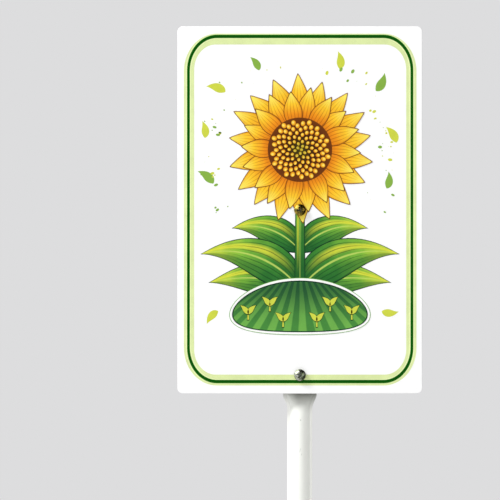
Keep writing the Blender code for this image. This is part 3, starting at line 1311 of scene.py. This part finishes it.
def turned(name, profile, corners=56):
    """A solid of circles, from (radius, height) points going up."""
    radius, height = profile[0]
    piece = round_sheet(name, radius, corners, height)
    edit(piece, "VERT", "SELECT")
    for next_radius, next_height in profile[1:]:
        move = {"value": (0, 0, next_height - height)}
        bpy.ops.mesh.extrude_region_move(TRANSFORM_OT_translate=move)
        share = next_radius / radius
        bpy.ops.transform.resize(value=(share, share, 1))
        radius, height = next_radius, next_height
    bpy.ops.mesh.select_all(action="SELECT")
    bpy.ops.mesh.normals_make_consistent(inside=False)
    clean_start()
    return settle(piece)


# %% Turn a screw
HEAD_RADIUS = 4.9 * MM
HEAD_HEIGHT = 3.1 * MM
HEAD_RIM = 1.4 * MM
HEAD_EDGE = 0.25 * MM
CORE_RADIUS = 2.02 * MM
SHANK_LENGTH = 22 * MM
SHANK_POINT = 0.5 * MM
CROWN_STEPS = 12
CROWN_START = 0.35
DOME = HEAD_HEIGHT - HEAD_RIM
DOME_RADIUS = (HEAD_RADIUS**2 + DOME**2) / (2 * DOME)

half_angle = atan2(HEAD_RADIUS, DOME_RADIUS - DOME)
profile = [
    (CORE_RADIUS - SHANK_POINT, -SHANK_LENGTH),
    (CORE_RADIUS, -SHANK_LENGTH + SHANK_POINT),
    (CORE_RADIUS, 0.0),
    (HEAD_RADIUS - HEAD_EDGE, 0.0),
    (HEAD_RADIUS, HEAD_EDGE),
    (HEAD_RADIUS, HEAD_RIM - 0.3 * MM),
]
for step in range(CROWN_STEPS, 0, -1):
    angle = half_angle * (step - CROWN_START) / CROWN_STEPS
    profile.append((DOME_RADIUS * sin(angle), HEAD_HEIGHT - DOME_RADIUS * (1 - cos(angle))))
screw = turned("screw", profile)
print("screw:", len(profile), "circles")

# %% [markdown]
# The cross recess is cut by two bars that narrow downwards, at right angles to each other, and
# a short cone in the middle, the shape of a screwdriver's tip.

# %% Cut the recess
RECESS_LONG = 7.6 * MM
RECESS_WIDE = 1.75 * MM
RECESS_DEEP = 1.9 * MM
RECESS_TAPER = (0.45, 0.72, 1)
CONE_DEEP = 1.15 * RECESS_DEEP
CONE_FOOT = 0.25 * MM
CONE_TOP = 1.75 * MM

bits = []
for turn in (0, 90):
    clean_start()
    bpy.ops.mesh.primitive_cube_add(size=1, location=(0, 0, HEAD_HEIGHT))
    bit = named("recess_bar")
    bit.scale = (RECESS_LONG, RECESS_WIDE, 2 * RECESS_DEEP)
    settle(bit)
    edit(bit)
    pick("verts", lambda vert: vert.co.z < HEAD_HEIGHT)
    bpy.ops.transform.resize(value=RECESS_TAPER)
    clean_start()
    bit.rotation_euler.z = radians(turn)
    bits.append(settle(bit))
cone = [(CONE_FOOT, HEAD_HEIGHT - CONE_DEEP), (CONE_TOP, HEAD_HEIGHT + RECESS_DEEP)]
bits.append(turned("recess_cone", cone, 24))
for bit in bits:
    carve(screw, bit)
print("screw with its recess:", len(screw.data.polygons), "faces")

# %% [markdown]
# The thread is a small triangle swept round the shank by a Screw modifier, and its two ends are
# filled.

# %% Sweep the thread
THREAD_RADIUS = 2.4 * MM
PITCH = 0.8 * MM
RIDGE_DEEP = 0.3 * MM
RIDGE_WIDE = 0.36 * MM
THREAD_LOW = -SHANK_LENGTH + 0.75 * MM
THREAD_HIGH = -0.4 * MM

clean_start()
bpy.ops.mesh.primitive_circle_add(vertices=3, radius=1)
ridge = named("thread_ridge")
ridge.rotation_euler = (radians(90), radians(90), 0)
settle(ridge)
ridge.scale = (RIDGE_DEEP, 1, RIDGE_WIDE)
ridge.location = (THREAD_RADIUS - RIDGE_DEEP, 0, THREAD_LOW)
settle(ridge)
turns = int((THREAD_HIGH - THREAD_LOW) / PITCH)
modify(ridge, "SCREW", axis="Z", screw_offset=PITCH, iterations=turns, steps=20, render_steps=20)
edit(ridge, "VERT", "SELECT")
bpy.ops.mesh.fill_holes(sides=3)
bpy.ops.mesh.normals_make_consistent(inside=False)
screw = join("screw", screw, ridge)
print("thread of", turns, "turns")

# %% Put a screw in each hole
HEAD_GAP = 0.3 * MM
SCREW_TURNS = {"upper": 20, "lower": 62}
head_seat = plate_front - HEAD_GAP

for which, height in holes.items():
    copy = twin(screw, which + "_pan_screw")
    copy.rotation_euler.z = radians(SCREW_TURNS[which])
    settle(copy)
    stand(copy, (0, head_seat, height), 28)
    keep(copy, "fixing_steel", which + "_screw")
discard(screw)

# %% [markdown]
# ## Zinc plate
#
# The fixings are pressed from wire and zinc-plated: a bright metal, softly dented where the
# press left it uneven, clouded, and with patches of dull olive film. Zinc is dipped against
# rust, in a clear bath or a yellow one, and the upper pair came from the yellow bath. The
# recess is darker.

# %% Plate the screws
RECESS_REACH = 3.4 * MM
GILT_FROM = (holes["lower"] + holes["upper"]) / 2 - 20 * MM
GILT_FULL = holes["upper"] - 20 * MM

zinc = Finish("zinc_plate")
x, y, z = zinc.place()
tone_share = zinc.noise(1100, 3.0).rise(0.35, 0.65)
patch = zinc.noise(650)
dents = zinc.noise(800)
recess = 0.0
for height in holes.values():
    away = (x * x + (z - height) ** 2) ** 0.5
    under_crown = y - (head_seat - HEAD_HEIGHT) - away * away / (2 * DOME_RADIUS)
    inside = under_crown.rise(0.05 * MM, 0.6 * MM) * under_crown.rise(3.2 * MM, 2.8 * MM)
    recess = inside * away.rise(RECESS_REACH, RECESS_REACH - 0.3 * MM) + recess
golden = zinc.coats(
    zinc.blend(tone_share, (0.36, 0.26, 0.035), (0.82, 0.55, 0.07)),
    (patch.rise(0.44, 0.6) * 0.8, (0.09, 0.09, 0.02)),
)
metal = zinc.coats(
    zinc.blend(tone_share, (0.46, 0.49, 0.36), (0.9, 0.91, 0.87)),
    (patch.rise(0.44, 0.56) * 0.8, (0.26, 0.34, 0.13)),
    (z.rise(GILT_FROM, GILT_FULL) * 0.97, golden),
    # darker in the cross recess
    (recess * 0.5, (0.16, 0.18, 0.19)),
)
zinc.set(
    Metallic=1.0,
    Base_Color=metal,
    Roughness=0.1 + 0.18 * tone_share,
    Normal=zinc.relief(0.85 * dents + 0.15 * tone_share, 0.09 * MM, 0.7),
)
for which in holes:
    coat(bpy.data.objects[which + "_pan_screw"], zinc.material)
print("plated with", zinc.material.name)

# %% [markdown]
# ## Nuts
#
# A hexagon with its corners turned off: what a six-sided cylinder and a round blank with
# sloping ends have in common. The slopes leave the curved lines that every nut shows on its
# flats. Its hole is as wide as the thread that fills it.

# %% Cut the nuts
nut_low, nut_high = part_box("upper_nut")
NUT_HALF = (nut_high.y - nut_low.y) / 2
NUT_FLATS = min(nut_high.x - nut_low.x, nut_high.z - nut_low.z)
NUT_CORNERS = NUT_FLATS / cos(pi / 6)
NUT_FACE = 0.94 * NUT_FLATS / 2
SLOPE = NUT_CORNERS / 2 - NUT_FACE
SLOPE_OUT = 1.1 * SLOPE
SLOPE_DOWN = 0.62 * SLOPE
HAIR = 0.001 * MM
NUT_EDGE = 0.12 * MM
NUT_HOLE = THREAD_RADIUS + 0.03 * MM

clean_start()
bpy.ops.mesh.primitive_cylinder_add(vertices=6, radius=NUT_CORNERS / 2, depth=2 * NUT_HALF)
nut = named("nut")
upper_half = [(NUT_FACE + SLOPE_OUT, NUT_HALF - SLOPE_DOWN), (NUT_FACE, NUT_HALF + HAIR)]
lower_half = [(radius, -height) for radius, height in reversed(upper_half)]
blank = turned("nut_blank", lower_half + upper_half)
carve(nut, blank, "INTERSECT")
modify(nut, "BEVEL", width=NUT_EDGE, segments=2, limit_method="ANGLE", angle_limit=radians(40))
coat(nut, zinc.material)
for which, height in holes.items():
    copy = twin(nut, which + "_hex_nut")
    stand(copy, (0, nut_low.y + NUT_HALF, height))
    drill(copy, NUT_HOLE, (0, nut_low.y, height), 50 * MM)
    settle(copy, 28)
    keep(copy, "fixing_steel", which + "_nut")
discard(nut)
